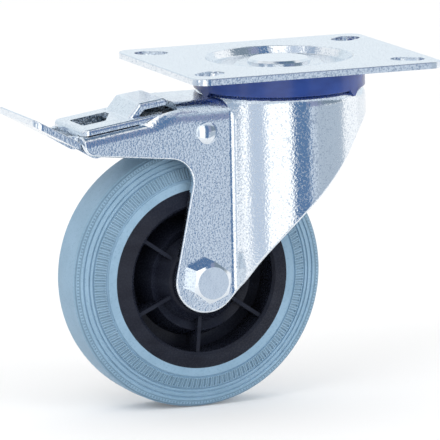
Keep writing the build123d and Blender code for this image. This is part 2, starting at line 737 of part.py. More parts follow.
with BuildPart() as roller_cage:
    with Locations(Location((AXLE_X, 0, AXLE_Z), (90, 0, 0))):
        Cylinder(roller_ring + CAGE_WALL / 2, CAGE_LENGTH)
        Cylinder(roller_ring - CAGE_WALL / 2, CAGE_LENGTH, mode=Mode.SUBTRACT)
    for i in range(ROLLER_COUNT):
        turn = 2 * pi * i / ROLLER_COUNT
        roller_spot = (AXLE_X + roller_ring * cos(turn), 0, AXLE_Z + roller_ring * sin(turn))
        with Locations(Location(roller_spot, (90, 0, 0))):
            Cylinder(
                ROLLER_DIAMETER / 2 + RUNNING_CLEARANCE,
                ROLLER_LENGTH + ROLLER_END_PLAY,
                mode=Mode.SUBTRACT,
            )
roller_cage.part.label = "roller_cage"
export_step(roller_cage.part, "parts/roller_cage.step")

# Wheel centre: hub, ring web and rim in one moulding, with six ribs on each side
with BuildPart() as wheel_centre:
    half_section = [
        (hub_bore, HUB_HALF),
        (HUB_RADIUS - HUB_RING_STEP, HUB_HALF),
        (HUB_RADIUS, HUB_HALF - HUB_RING_STEP),
        (VALLEY_RADIUS, VALLEY_HALF),
        (CREST_RADIUS, CREST_HALF),
        (WELL_RADIUS, WELL_HALF),
        (RIM_INNER, WELL_HALF),
        (RIM_INNER, RIM_LIP_HALF - RIM_LIP_CHAMFER),
        (RIM_LIP_RADIUS, RIM_LIP_HALF),
        (RIM_EDGE_RADIUS, RIM_EDGE_HALF),
        (TYRE_SEAT_RADIUS, TYRE_SEAT_HALF),
    ]
    with BuildSketch(WHEEL_SECTION):
        with BuildLine():
            Polyline(*at_wheel(half_section + mirrored(half_section)), close=True)
        make_face()
    revolve(axis=AXLE_AXIS)
    rib_length = RIM_INNER + RIB_RIM_BITE - HUB_RADIUS + RIB_HUB_BITE
    for i in range(RIB_COUNT):
        turn = radians(RIB_FIRST_ANGLE + 360 * i / RIB_COUNT)
        rib_middle = (HUB_RADIUS - RIB_HUB_BITE + RIM_INNER + RIB_RIM_BITE) / 2
        rib_spot = (AXLE_X + rib_middle * cos(turn), 0, AXLE_Z + rib_middle * sin(turn))
        with Locations(Location(rib_spot, (0, -degrees(turn), 0))):
            Box(rib_length, 2 * RIB_HALF, RIB_THICKNESS)
wheel_centre.part.label = "wheel_centre"
export_step(wheel_centre.part, "parts/wheel_centre.step")

# Tyre bonded over the rim, with moulded side grooves and a serrated band
with BuildPart() as tyre:
    side_line = [
        (TYRE_SEAT_RADIUS, TYRE_SEAT_HALF),
        (RIM_EDGE_RADIUS, RIM_EDGE_HALF),
        BEAD_OUTER,
        (BEAD_OUTER[0] + SIDE_GROOVE_FLOOR, BEAD_OUTER[1] - SIDE_GROOVE_DEPTH),
        (SERRATED_INNER[0] - BEAD_GROOVE_LEAN, SERRATED_INNER[1] - SIDE_GROOVE_DEPTH),
        SERRATED_INNER,
        SERRATED_OUTER,
    ]
    for radius, side in SIDE_GROOVES:
        side_line += [
            (radius - SIDE_GROOVE_MOUTH, side),
            (radius - SIDE_GROOVE_FLOOR, side - SIDE_GROOVE_DEPTH),
            (radius + SIDE_GROOVE_FLOOR, side - SIDE_GROOVE_DEPTH),
            (radius + SIDE_GROOVE_MOUTH, side),
        ]
    side_line += [SHOULDER_START]
    with BuildSketch(WHEEL_SECTION):
        with BuildLine():
            shoulder_end = (TYRE_RADIUS - TREAD_CROWN, TREAD_HALF)
            crown = (TYRE_RADIUS, 0)
            Polyline(*at_wheel(side_line))
            ThreePointArc(*at_wheel([SHOULDER_START, SHOULDER_MIDDLE, shoulder_end]))
            ThreePointArc(*at_wheel([shoulder_end, crown] + mirrored([shoulder_end])))
            far_shoulder = mirrored([SHOULDER_START, SHOULDER_MIDDLE, shoulder_end])
            ThreePointArc(*at_wheel(far_shoulder))
            Polyline(*at_wheel(mirrored(side_line)))
            Line(*at_wheel([side_line[0]] + mirrored([side_line[0]])))
        make_face()
    revolve(axis=AXLE_AXIS)
    band_run = hypot(
        SERRATED_OUTER[0] - SERRATED_INNER[0], SERRATED_INNER[1] - SERRATED_OUTER[1]
    )
    band_lean = degrees(
        atan2(SERRATED_INNER[1] - SERRATED_OUTER[1], SERRATED_OUTER[0] - SERRATED_INNER[0])
    )
    band_middle = (
        (SERRATED_INNER[0] + SERRATED_OUTER[0]) / 2,
        (SERRATED_INNER[1] + SERRATED_OUTER[1]) / 2,
    )
    serration_spots = [
        Location((AXLE_X, 0, AXLE_Z), (0, 360 * i / SERRATION_COUNT, 0))
        * Location((band_middle[0], side * band_middle[1], 0), (0, 0, -side * band_lean))
        for i in range(SERRATION_COUNT)
        for side in (-1, 1)
    ]
    with Locations(*serration_spots):
        Box(
            band_run - 2 * SERRATION_MARGIN,
            2 * SERRATION_DEPTH,
            SERRATION_WIDTH,
            mode=Mode.SUBTRACT,
        )
tyre.part.label = "tyre"
export_step(tyre.part, "parts/tyre.step")

# Rocker: release plate, raised tongue, two ears and the web above the tyre
# The shoe face is concentric with the axle when the rocker is fully pressed
travel = radians(ROCKER_TRAVEL)
axle_from_pivot = (AXLE_X - ROCKER_PIVOT[0], AXLE_Z - ROCKER_PIVOT[1])
shoe_centre = (
    ROCKER_PIVOT[0] + axle_from_pivot[0] * cos(travel) - axle_from_pivot[1] * sin(travel),
    ROCKER_PIVOT[1] + axle_from_pivot[0] * sin(travel) + axle_from_pivot[1] * cos(travel),
)
shoe_radius = TYRE_RADIUS + SHOE_GAP


def on_shoe(radius, turn):
    """Point at this radius from the shoe's centre, turned forward from straight up."""
    return (
        shoe_centre[0] + radius * sin(radians(turn)),
        shoe_centre[1] + radius * cos(radians(turn)),
    )


shoe_middle = (SHOE_START + SHOE_END) / 2
web_inner = shoe_radius + SHOE_THICKNESS
web_outer = web_inner + SHOE_PLATE
shoe_spot = on_shoe(web_inner, shoe_middle)
shoe_plane = Plane(
    origin=(shoe_spot[0], 0, shoe_spot[1]),
    x_dir=(0, 1, 0),
    z_dir=(sin(radians(shoe_middle)), 0, cos(radians(shoe_middle))),
)

# Tongue pressed up out of the rocker plate
with BuildPart() as tongue:
    tongue_root = TONGUE_RISE_START - TONGUE_ROOT_RUN
    tongue_foot = TONGUE_RISE_START + TONGUE_UNDER_SHIFT
    with BuildSketch(Plane.XZ):
        with BuildLine():
            Polyline(
                (tongue_root, rocker_top(tongue_root)),
                (TONGUE_RISE_START, rocker_top(TONGUE_RISE_START)),
                TONGUE_TOP_REAR,
                TONGUE_TOP_FRONT,
                (TONGUE_TOP_FRONT[0], TONGUE_TOP_FRONT[1] - TONGUE_THICKNESS),
                (TONGUE_RISE_END + TONGUE_UNDER_SHIFT, TONGUE_TOP_REAR[1] - TONGUE_THICKNESS),
                (tongue_foot, rocker_top(tongue_foot) - rocker_drop),
                (tongue_root, rocker_top(tongue_root) - rocker_drop),
                close=True,
            )
        make_face()
        tongue_bends = vertices().filter_by(
            lambda v: TONGUE_RISE_START - 1 < v.X < TONGUE_TOP_FRONT[0] - 1
        )
        fillet(tongue_bends, TONGUE_BEND_RADIUS)
    extrude(amount=TONGUE_HALF, both=True)
    tongue_front = tongue.faces().sort_by(Axis.X)[-1]
    fillet(tongue_front.edges().filter_by(Axis.Z), TONGUE_CORNER_RADIUS)
    tongue_tops = tongue.faces().filter_by(
        lambda f: f.normal_at().Z > 0.5 and f.center().Z > rocker_top(f.center().X) + 0.1
    )
    tongue_rim = tongue_tops.edges().filter_by(
        lambda e: abs((e @ 0.5).Y) > TONGUE_HALF - TONGUE_CORNER_RADIUS - 0.1
        or (e @ 0.5).X > TONGUE_TOP_FRONT[0] - TONGUE_CORNER_RADIUS - 0.1
    )
    fillet(tongue_rim, TONGUE_EDGE_RADIUS)

with BuildPart() as rocker:
    with BuildSketch(Plane.XZ):
        with BuildLine():
            Polyline(
                (ROCKER_REAR, rocker_top(ROCKER_REAR)),
                (ROCKER_RAIL_FRONT, rocker_top(ROCKER_RAIL_FRONT)),
                (ROCKER_RAIL_FRONT, rocker_top(ROCKER_RAIL_FRONT) - rocker_drop),
                (ROCKER_REAR, rocker_top(ROCKER_REAR) - rocker_drop),
                close=True,
            )
        make_face()
    extrude(amount=ROCKER_HALF, both=True)
    corners = rocker.edges().filter_by(
        lambda e: abs((e @ 0.5).Y) > ROCKER_HALF - 0.1 and abs((e @ 0).X - (e @ 1).X) < 0.1
    )
    fillet(corners, ROCKER_CORNER_RADIUS)
    rocker_face = rocker.faces().filter_by(lambda f: f.normal_at().Z > 0.5)[0]
    fillet(rocker_face.outer_wire().edges(), ROCKER_EDGE_RADIUS)
    with BuildSketch(Plane.XY.offset(HORN_END_BOTTOM)):
        with BuildLine():
            Polyline(*ROCKER_WINDOW, close=True)
        make_face()
        fillet(vertices(), ROCKER_WINDOW_RADIUS)
    extrude(amount=-HORN_END_BOTTOM, mode=Mode.SUBTRACT)
    with BuildSketch(Plane.XY.offset(HORN_END_BOTTOM)):
        slot_length = ROCKER_RAIL_FRONT - TONGUE_RISE_START + TONGUE_SLOT_REACH
        with Locations((TONGUE_RISE_START + slot_length / 2, 0)):
            Rectangle(slot_length, 2 * (TONGUE_HALF + TONGUE_KERF))
    extrude(amount=-HORN_END_BOTTOM, mode=Mode.SUBTRACT)

    # Lip turned down at the rear end
    with BuildSketch(Plane.XZ):
        with BuildLine():
            Polyline(
                (ROCKER_REAR, rocker_top(ROCKER_REAR) - ROCKER_LIP_BITE),
                (ROCKER_REAR + ROCKER_THICKNESS, rocker_top(ROCKER_REAR) - ROCKER_LIP_BITE),
                (ROCKER_REAR + ROCKER_THICKNESS, ROCKER_LIP_BOTTOM),
                (ROCKER_REAR, ROCKER_LIP_BOTTOM),
                close=True,
            )
        make_face()
    extrude(amount=ROCKER_LIP_HALF, both=True)

    add(tongue.part)

    # Ears on both sides of the tyre, from the plate through the pivot to the shoe
    ear_top = rocker_top(EAR_REAR) - EAR_BITE
    arm_end = on_shoe(web_outer + ARM_MARGIN, SHOE_END)
    ear_neck = rocker_top(TONGUE_RISE_START) - rocker_drop + EAR_NECK_RISE
    arm_foot = on_shoe(web_inner, SHOE_END)
    arm_heel = on_shoe(web_inner, SHOE_START)
    for ear_plane in (Plane.XZ.offset(EAR_INNER), Plane.XZ.offset(-EAR_OUTER)):
        with BuildSketch(ear_plane):
            with BuildLine():
                Polyline(
                    (EAR_REAR, ear_top),
                    (TONGUE_RISE_START - EAR_ROOT_RUN, rocker_top(TONGUE_RISE_START) - EAR_BITE),
                    (TONGUE_RISE_START + EAR_NECK_RUN, ear_neck),
                    (ROCKER_PIVOT[0], ROCKER_PIVOT[1] + EAR_BOSS_RADIUS),
                    arm_end,
                    arm_foot,
                    arm_heel,
                    (ROCKER_PIVOT[0], ROCKER_PIVOT[1] - EAR_BOSS_RADIUS + EAR_WAIST),
                    (EAR_REAR + EAR_KNEE_RUN, ear_top - EAR_KNEE_DEPTH),
                    (EAR_REAR, ear_top - EAR_REAR_DEPTH),
                    close=True,
                )
            make_face()
            with Locations(ROCKER_PIVOT):
                Circle(EAR_BOSS_RADIUS)
        extrude(amount=EAR_OUTER - EAR_INNER)
    with BuildSketch(Plane.XZ):
        with BuildLine():
            Polyline(
                on_shoe(web_inner, SHOE_START),
                on_shoe(web_outer, SHOE_START),
            )
            ThreePointArc(
                on_shoe(web_outer, SHOE_START),
                on_shoe(web_outer, shoe_middle),
                on_shoe(web_outer, SHOE_END),
            )
            Line(on_shoe(web_outer, SHOE_END), on_shoe(web_inner, SHOE_END))
            ThreePointArc(
                on_shoe(web_inner, SHOE_END),
                on_shoe(web_inner, shoe_middle),
                on_shoe(web_inner, SHOE_START),
            )
        make_face()
    extrude(amount=EAR_OUTER, both=True)
    with Locations(Location((ROCKER_PIVOT[0], 0, ROCKER_PIVOT[1]), (90, 0, 0))):
        Cylinder(ROCKER_RIVET_RADIUS + PIN_FIT, 4 * EAR_OUTER, mode=Mode.SUBTRACT)
    with Locations(shoe_plane):
        with Locations((-SHOE_RIVET_SPACING / 2, 0), (SHOE_RIVET_SPACING / 2, 0)):
            Cylinder(SHOE_RIVET_RADIUS, 4 * SHOE_PLATE, mode=Mode.SUBTRACT)
rocker.part.label = "rocker"
export_step(rocker.part, "parts/rocker.step")

# Brake shoe riveted under the rocker's web
with BuildPart() as brake_shoe:
    with BuildSketch(Plane.XZ):
        with BuildLine():
            ThreePointArc(
                on_shoe(web_inner, SHOE_START),
                on_shoe(web_inner, shoe_middle),
                on_shoe(web_inner, SHOE_END),
            )
            Line(on_shoe(web_inner, SHOE_END), on_shoe(shoe_radius, SHOE_END))
            ThreePointArc(
                on_shoe(shoe_radius, SHOE_END),
                on_shoe(shoe_radius, shoe_middle),
                on_shoe(shoe_radius, SHOE_START),
            )
            Line(on_shoe(shoe_radius, SHOE_START), on_shoe(web_inner, SHOE_START))
        make_face()
    extrude(amount=SHOE_HALF, both=True)
    with Locations(shoe_plane):
        with Locations((-SHOE_RIVET_SPACING / 2, 0), (SHOE_RIVET_SPACING / 2, 0)):
            Cylinder(SHOE_RIVET_RADIUS, 2 * (SHOE_THICKNESS - SHOE_RIVET_COVER), mode=Mode.SUBTRACT)
brake_shoe.part.label = "brake_shoe"
export_step(brake_shoe.part, "parts/brake_shoe.step")

with BuildPart() as shoe_rivets:
    with Locations(shoe_plane):
        with Locations((-SHOE_RIVET_SPACING / 2, 0), (SHOE_RIVET_SPACING / 2, 0)):
            with Locations((0, 0, (SHOE_PLATE - SHOE_THICKNESS + SHOE_RIVET_COVER) / 2)):
                Cylinder(SHOE_RIVET_RADIUS, SHOE_PLATE + SHOE_THICKNESS - SHOE_RIVET_COVER)
            with Locations((0, 0, SHOE_PLATE + SHOE_RIVET_HEAD_HEIGHT / 2)):
                Cylinder(SHOE_RIVET_HEAD, SHOE_RIVET_HEAD_HEIGHT)
shoe_rivets.part.label = "shoe_rivets"
export_step(shoe_rivets.part, "parts/shoe_rivets.step")

# Rocker rivet across the fork, with a domed head outside each cheek
with BuildPart() as rocker_rivet:
    with BuildSketch(Plane.XY.offset(ROCKER_PIVOT[1])):
        with BuildLine():
            head_end = CHEEK_OUTER + ROCKER_RIVET_HEAD_HEIGHT
            rim_side = CHEEK_OUTER + ROCKER_RIVET_HEAD_RIM
            cap_height = head_end - rim_side
            cap_radius = (ROCKER_RIVET_HEAD_RADIUS**2 + cap_height**2) / (2 * cap_height)
            cap_turn = asin(ROCKER_RIVET_HEAD_RADIUS / cap_radius) / 2
            dome = [
                (ROCKER_RIVET_HEAD_RADIUS, rim_side),
                (cap_radius * sin(cap_turn), head_end - cap_radius * (1 - cos(cap_turn))),
                (0, head_end),
            ]
            side_points = [
                (ROCKER_RIVET_RADIUS, CHEEK_OUTER),
                (ROCKER_RIVET_HEAD_RADIUS, CHEEK_OUTER),
                (ROCKER_RIVET_HEAD_RADIUS, rim_side),
            ]
            Polyline(*[(ROCKER_PIVOT[0] + r, y) for r, y in mirrored(side_points) + side_points])
            ThreePointArc(*[(ROCKER_PIVOT[0] + r, y) for r, y in dome])
            ThreePointArc(*[(ROCKER_PIVOT[0] + r, y) for r, y in mirrored(dome)])
            Line((ROCKER_PIVOT[0], head_end), (ROCKER_PIVOT[0], -head_end))
        make_face()
    revolve(axis=Axis((ROCKER_PIVOT[0], 0, ROCKER_PIVOT[1]), (0, 1, 0)))
rocker_rivet.part.label = "rocker_rivet"
export_step(rocker_rivet.part, "parts/rocker_rivet.step")

# Torsion spring round the rocker rivet
with BuildPart() as return_spring:
    spring_pitch = 2 * SPRING_HALF / SPRING_TURNS
    with BuildLine() as coil:
        Helix(
            pitch=spring_pitch,
            height=2 * SPRING_HALF,
            radius=SPRING_RADIUS,
            center=(ROCKER_PIVOT[0], -SPRING_HALF, ROCKER_PIVOT[1]),
            direction=(0, 1, 0),
        )
    with BuildSketch(Plane(origin=coil.wires()[0] @ 0, z_dir=coil.wires()[0] % 0)):
        Circle(SPRING_WIRE / 2)
    sweep(path=coil.wires()[0])
return_spring.part.label = "return_spring"
export_step(return_spring.part, "parts/return_spring.step")

# Pedal: blade behind the horns, two ears, hub and lifting noses
with BuildPart() as pedal:
    pedal_drop = PEDAL_THICKNESS * sqrt(1 + PEDAL_SLOPE**2)
    root_top = PEDAL_TOP_AT_REAR - PEDAL_SLOPE * (PEDAL_ROOT - PEDAL_REAR)
    with BuildSketch(Plane.XZ):
        with BuildLine():
            Polyline(
                (PEDAL_REAR, PEDAL_TOP_AT_REAR),
                (PEDAL_ROOT, root_top),
                (PEDAL_ROOT, root_top - pedal_drop),
                (
                    PEDAL_REAR + PEDAL_TIP_LEAN,
                    PEDAL_TOP_AT_REAR - pedal_drop - PEDAL_TIP_LEAN * PEDAL_SLOPE,
                ),
                close=True,
            )
        make_face()
    extrude(amount=PEDAL_HALF, both=True)
    with BuildSketch(Plane.XY.offset(HORN_END_BOTTOM)):
        with Locations(((PEDAL_REAR + PEDAL_ROOT) / 2, 0)):
            Rectangle(PEDAL_ROOT - PEDAL_REAR, 2 * PEDAL_HALF)
        fillet(vertices().sort_by(Axis.X)[:2], PEDAL_CORNER_RADIUS)
    extrude(amount=-HORN_END_BOTTOM, mode=Mode.INTERSECT)
    tread_face = pedal.faces().filter_by(
        lambda f: f.normal_at().Z > 0.5 and f.area > 100
    )[0]
    fillet(tread_face.outer_wire().edges(), PEDAL_EDGE_RADIUS)
    nose = (
        PEDAL_PIVOT[0] + PEDAL_NOSE_REACH * cos(radians(PEDAL_NOSE_ANGLE)),
        PEDAL_PIVOT[1] + PEDAL_NOSE_REACH * sin(radians(PEDAL_NOSE_ANGLE)),
    )
    root = (PEDAL_ROOT_CIRCLE, PEDAL_ROOT_RADIUS)
    hub = (PEDAL_PIVOT, PEDAL_HUB_RADIUS)
    for ear_plane in (Plane.XZ.offset(PEDAL_EAR_INNER), Plane.XZ.offset(-PEDAL_EAR_OUTER)):
        with BuildSketch(ear_plane):
            for centre, radius in (root, hub, (nose, PEDAL_NOSE_RADIUS)):
                with Locations(centre):
                    Circle(radius)
            for first, second in ((root, hub), ((nose, PEDAL_NOSE_RADIUS), hub)):
                with BuildLine():
                    Polyline(*strap(*first, *second), close=True)
                make_face()
            with Locations(PEDAL_PIVOT):
                Circle(PEDAL_PIN_RADIUS + PIN_FIT, mode=Mode.SUBTRACT)
        extrude(amount=PEDAL_EAR_OUTER - PEDAL_EAR_INNER)
pedal.part.label = "pedal"
export_step(pedal.part, "parts/pedal.step")

with BuildPart() as pedal_pin:
    with Locations(Location((PEDAL_PIVOT[0], 0, PEDAL_PIVOT[1]), (90, 0, 0))):
        Cylinder(PEDAL_PIN_RADIUS, 2 * (CHEEK_INNER + PEDAL_PIN_POCKET))
pedal_pin.part.label = "pedal_pin"
export_step(pedal_pin.part, "parts/pedal_pin.step")
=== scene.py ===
# %% [markdown]
# A swivel castor: a plate that is bolted under a machine, a fork that turns
# below it on two rings of balls, a wheel on an axle bolt, and a foot brake.
# The hard parts come in as finished solids in one fixed frame, in metres,
# with the plate's top at z = 0. This lesson lights them, gives each one its
# real finish, and adds the marks that the wheel's mould leaves.

# %% Load the solids
import math

import bmesh
import bpy
from mathutils import Matrix, Vector


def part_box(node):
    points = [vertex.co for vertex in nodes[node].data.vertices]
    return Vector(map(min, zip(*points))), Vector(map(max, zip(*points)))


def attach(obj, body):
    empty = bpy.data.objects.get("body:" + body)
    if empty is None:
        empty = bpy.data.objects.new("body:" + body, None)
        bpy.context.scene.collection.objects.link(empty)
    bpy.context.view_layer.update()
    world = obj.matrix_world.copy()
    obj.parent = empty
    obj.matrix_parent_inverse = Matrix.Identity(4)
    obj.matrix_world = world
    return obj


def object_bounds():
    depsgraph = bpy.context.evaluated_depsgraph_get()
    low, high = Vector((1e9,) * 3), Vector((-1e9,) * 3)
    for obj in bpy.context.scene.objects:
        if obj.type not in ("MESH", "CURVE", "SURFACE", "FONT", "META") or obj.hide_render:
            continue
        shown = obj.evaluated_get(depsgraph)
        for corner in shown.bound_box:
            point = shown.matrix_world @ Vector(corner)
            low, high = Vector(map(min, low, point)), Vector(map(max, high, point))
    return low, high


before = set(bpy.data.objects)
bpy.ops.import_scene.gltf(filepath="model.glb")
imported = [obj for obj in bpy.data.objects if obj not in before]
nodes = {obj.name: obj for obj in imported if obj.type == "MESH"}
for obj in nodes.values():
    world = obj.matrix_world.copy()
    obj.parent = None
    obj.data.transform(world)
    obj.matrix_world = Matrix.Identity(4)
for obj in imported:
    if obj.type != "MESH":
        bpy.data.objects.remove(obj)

cad_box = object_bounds()

# %% [markdown]
# The camera stands low and a little to the left of the castor's flank, far
# back behind a long lens, so parallel edges stay nearly parallel. It could be
# aimed with a Track To constraint, but three turns in a row also give it the
# slight roll of a hand-held view, so those are written out as matrices.

# %% Camera
VIEW_AZIMUTH = math.radians(-21.67)
VIEW_ELEVATION = math.radians(9.85)
VIEW_ROLL = math.radians(-0.98)
VIEW_TARGET = Vector((-0.02349, 0.00375, -0.06162))
VIEW_DISTANCE = 2.5
LENS = 540.5

camera_data = bpy.data.cameras.new("camera")
camera_data.lens = LENS
camera_data.sensor_width = 36.0
camera_data.clip_end = 20.0
camera = bpy.data.objects.new("camera", camera_data)
bpy.context.scene.collection.objects.link(camera)
turn = (
    Matrix.Rotation(VIEW_AZIMUTH, 4, "Z")
    @ Matrix.Rotation(math.pi / 2 - VIEW_ELEVATION, 4, "X")
    @ Matrix.Rotation(VIEW_ROLL, 4, "Z")
)
camera.matrix_world = (
    Matrix.Translation(VIEW_TARGET)
    @ turn
    @ Matrix.Translation((0.0, 0.0, VIEW_DISTANCE))
)
bpy.context.scene.camera = camera
bpy.context.scene.view_settings.view_transform = "Standard"
print("camera at", tuple(round(v, 3) for v in camera.matrix_world.translation))

# %% [markdown]
# Every finish below is a small graph of shader nodes. Written node by node it
# would be long, so one class wraps a node's output and lets Python's own
# + - * add the Math nodes. Colours are mixed with the Mix node, because a
# Math node would turn them grey.


# %% Shader helper
class Signal:
    """An output socket that can be used in sums and handed to other nodes."""

    def __init__(self, tree, socket=None):
        self.tree = tree
        self.socket = socket

    def node(self, kind, settings=None, values=None, out=0):
        """Adds a node: its settings first, then its sockets' values or links."""
        made = self.tree.nodes.new("ShaderNode" + kind)
        for name, value in (settings or {}).items():
            setattr(made, name, value)
        for name, value in (values or {}).items():
            if isinstance(value, Signal):
                self.tree.links.new(value.socket, made.inputs[name])
            else:
                made.inputs[name].default_value = value
        return Signal(self.tree, made.outputs[out])

    def math(self, operation, first, second=0.0):
        return self.node("Math", {"operation": operation}, {0: first, 1: second})

    def __add__(self, other):
        return self.math("ADD", self, other)

    __radd__ = __add__

    def __mul__(self, other):
        return self.math("MULTIPLY", self, other)

    __rmul__ = __mul__

    def __sub__(self, other):
        return self.math("SUBTRACT", self, other)

    def __rsub__(self, other):
        return self.math("SUBTRACT", other, self)

    def step(self, low, high):
        """0 below low, 1 above high, smooth between."""
        settings = {"interpolation_type": "SMOOTHSTEP"}
        ends = {"Value": self, "From Min": low, "From Max": high}
        return self.node("MapRange", settings, ends)

    def mix(self, first, second):
        """The first colour where this signal is 0, the second where it is 1."""
        values = {"Factor": self, 6: first, 7: second}
        return self.node("Mix", {"data_type": "RGBA"}, values, out=2)


def new_finish(name):
    """A material with its surface shader, and a Signal to build from."""
    material = bpy.data.materials.new(name + "_finish")
    material.use_nodes = True
    material.node_tree.nodes.clear()
    start = Signal(material.node_tree)
    shader = start.node("BsdfPrincipled")
    output = material.node_tree.nodes.new("ShaderNodeOutputMaterial")
    material.node_tree.links.new(shader.socket, output.inputs["Surface"])
    return material, start, shader.socket.node


def feed(start, shader, **inputs):
    """Links or sets sockets of the surface shader by name."""
    for name, value in inputs.items():
        socket = shader.inputs[name.replace("_", " ")]
        if isinstance(value, Signal):
            start.tree.links.new(value.socket, socket)
        else:
            socket.default_value = value


def noise(start, size, detail=2.0, rough=0.5, stretch=(1.0, 1.0, 1.0)):
    """Cloudy noise in object space whose features are size metres across."""
    place = start.node("TexCoord", out="Object")
    place = start.node("Mapping", None, {"Vector": place, "Scale": stretch})
    values = {"Vector": place, "Scale": 1.0 / size, "Detail": detail, "Roughness": rough}
    return start.node("TexNoise", None, values)


def bump(start, height, depth):
    """A normal tilted by a height signal, whose full swing is depth metres."""
    return start.node("Bump", None, {"Height": height, "Distance": depth})


print("shader helper ready")

# %% [markdown]
# The studio is a plain white room. The floor is finite, so that the metal
# also mirrors what stands beyond it. A ring of glowing cards, from white to
# dark blue, stands far out around the castor. Cards are how a photographer
# gives bright metal its bands: with white all around it would look like
# paper. The camera doesn't see them, and only mirroring surfaces do.

# %% Floor, world, cards and lamps
WHITE = (1.0, 1.0, 1.0, 1.0)
FLOOR_HEIGHT = cad_box[0][2]
FLOOR_GREY = (0.8, 0.8, 0.8, 1.0)
FLOOR_GLOW = 0.12
FLOOR_WIDTH = 1.2
FLOOR_LENGTH = 1.3
FLOOR_BEHIND = 0.49


def stage_object(name, mesh_edit, material):
    """A stage piece from a function that fills a bmesh."""
    mesh = bpy.data.meshes.new(name)
    work = bmesh.new()
    mesh_edit(work)
    work.to_mesh(mesh)
    work.free()
    thing = bpy.data.objects.new(name, mesh)
    thing.data.materials.append(material)
    bpy.context.scene.collection.objects.link(thing)
    return thing


def seen_directly(start):
    """1 for rays that the camera, a mirror or glass sends out, else 0."""
    path = start.node("LightPath", out="Is Camera Ray")
    glossy = start.node("LightPath", out="Is Glossy Ray")
    through = start.node("LightPath", out="Is Transmission Ray")
    return start.math("MAXIMUM", path, start.math("MAXIMUM", glossy, through))


world = bpy.data.worlds.new("studio")
world.use_nodes = True
world.node_tree.nodes.clear()
start = Signal(world.node_tree)
background = start.node("Background", None, {"Color": WHITE, "Strength": 1.0})
output = world.node_tree.nodes.new("ShaderNodeOutputWorld")
world.node_tree.links.new(background.socket, output.inputs["Surface"])
bpy.context.scene.world = world

floor_material = bpy.data.materials.new("floor")
floor_material.use_nodes = True
floor_material.node_tree.nodes.clear()
start = Signal(floor_material.node_tree)
matt = start.node("BsdfDiffuse", None, {"Color": FLOOR_GREY})
glow_level = seen_directly(start) * FLOOR_GLOW
glow = start.node("Emission", None, {"Color": WHITE, "Strength": glow_level})
both = start.node("AddShader", None, {0: matt, 1: glow})
output = floor_material.node_tree.nodes.new("ShaderNodeOutputMaterial")
floor_material.node_tree.links.new(both.socket, output.inputs["Surface"])


def floor_shape(work):
    """A flat sheet under the wheel that reaches mostly behind the castor."""
    made = bmesh.ops.create_grid(work, x_segments=1, y_segments=1, size=0.5)
    bmesh.ops.scale(work, verts=made["verts"], vec=(FLOOR_WIDTH, FLOOR_LENGTH, 1.0))
    bmesh.ops.translate(work, verts=made["verts"], vec=(0.0, FLOOR_BEHIND, FLOOR_HEIGHT))


floor = stage_object("floor", floor_shape, floor_material)

CARD_RADIUS = 6.0
CARD_STEPS = 12
CARDS = (
    # sideways from, to and upwards from, to in degrees from the camera, colour
    ("card_front", -19.0, 16.0, -45.0, 66.0, (1.42, 1.40, 1.36, 1.0)),
    ("card_blue", 16.5, 40.0, -45.0, 58.0, (0.12, 0.22, 0.39, 1.0)),
    ("card_pale", 40.0, 48.0, -45.0, 0.0, (0.70, 0.77, 0.86, 1.0)),
    ("card_grey", 48.0, 93.0, -45.0, 0.0, (0.50, 0.57, 0.65, 1.0)),
    ("card_plum", 40.0, 57.0, 0.0, 58.0, (0.32, 0.35, 0.50, 1.0)),
    ("card_slate", 57.0, 93.0, 2.0, 52.0, (0.24, 0.30, 0.36, 1.0)),
    ("card_side", 94.0, 128.0, -45.0, 34.0, (1.16, 1.14, 1.12, 1.0)),
    ("card_back", 130.0, 232.0, 2.0, 46.0, (0.90, 0.96, 1.00, 1.0)),
    ("card_sky", 60.0, 232.0, 58.0, 76.0, (0.14, 0.22, 0.30, 1.0)),
    ("card_zenith", 0.0, 232.0, 76.0, 89.0, (0.12, 0.19, 0.30, 1.0)),
    ("card_mist", -43.0, -20.0, -45.0, 60.0, (0.60, 0.68, 0.80, 1.0)),
    ("card_strip", -53.5, -44.5, -45.0, 60.0, (1.36, 1.34, 1.32, 1.0)),
    ("card_edge", -78.0, -54.0, -45.0, 60.0, (0.40, 0.49, 0.62, 1.0)),
    ("card_left", -118.0, -78.0, -45.0, 8.0, (0.70, 0.76, 0.84, 1.0)),
    ("card_rear", -152.0, -122.0, -45.0, 40.0, (0.66, 0.74, 0.79, 1.0)),
)


def card_shape(work, sideways, upwards):
    """A patch of a ball: an arc turned upwards, then spun sideways."""
    low, high = (math.radians(angle) for angle in upwards)
    first, last = (math.radians(angle) + VIEW_AZIMUTH - math.pi / 2 for angle in sideways)
    reach = Vector((CARD_RADIUS * math.cos(low), 0.0, CARD_RADIUS * math.sin(low)))
    foot = work.verts.new(reach)
    spin = {"cent": (0.0, 0.0, 0.0), "steps": CARD_STEPS, "use_merge": False}
    bmesh.ops.spin(work, geom=[foot], axis=(0.0, -1.0, 0.0), angle=high - low, **spin)
    bmesh.ops.rotate(
        work, verts=work.verts, cent=(0.0, 0.0, 0.0), matrix=Matrix.Rotation(first, 3, "Z")
    )
    arc = work.verts[:] + work.edges[:]
    bmesh.ops.spin(work, geom=arc, axis=(0.0, 0.0, 1.0), angle=last - first, **spin)


for name, left, right, low, high, colour in CARDS:
    card_material = bpy.data.materials.new(name)
    card_material.use_nodes = True
    card_material.node_tree.nodes.clear()
    start = Signal(card_material.node_tree)
    glow = start.node("Emission", None, {"Color": colour, "Strength": 1.0})
    output = card_material.node_tree.nodes.new("ShaderNodeOutputMaterial")
    card_material.node_tree.links.new(glow.socket, output.inputs["Surface"])
    card = stage_object(
        name, lambda work: card_shape(work, (left, right), (low, high)), card_material
    )
    card.visible_camera = False
    card.visible_diffuse = False
    card.visible_shadow = False


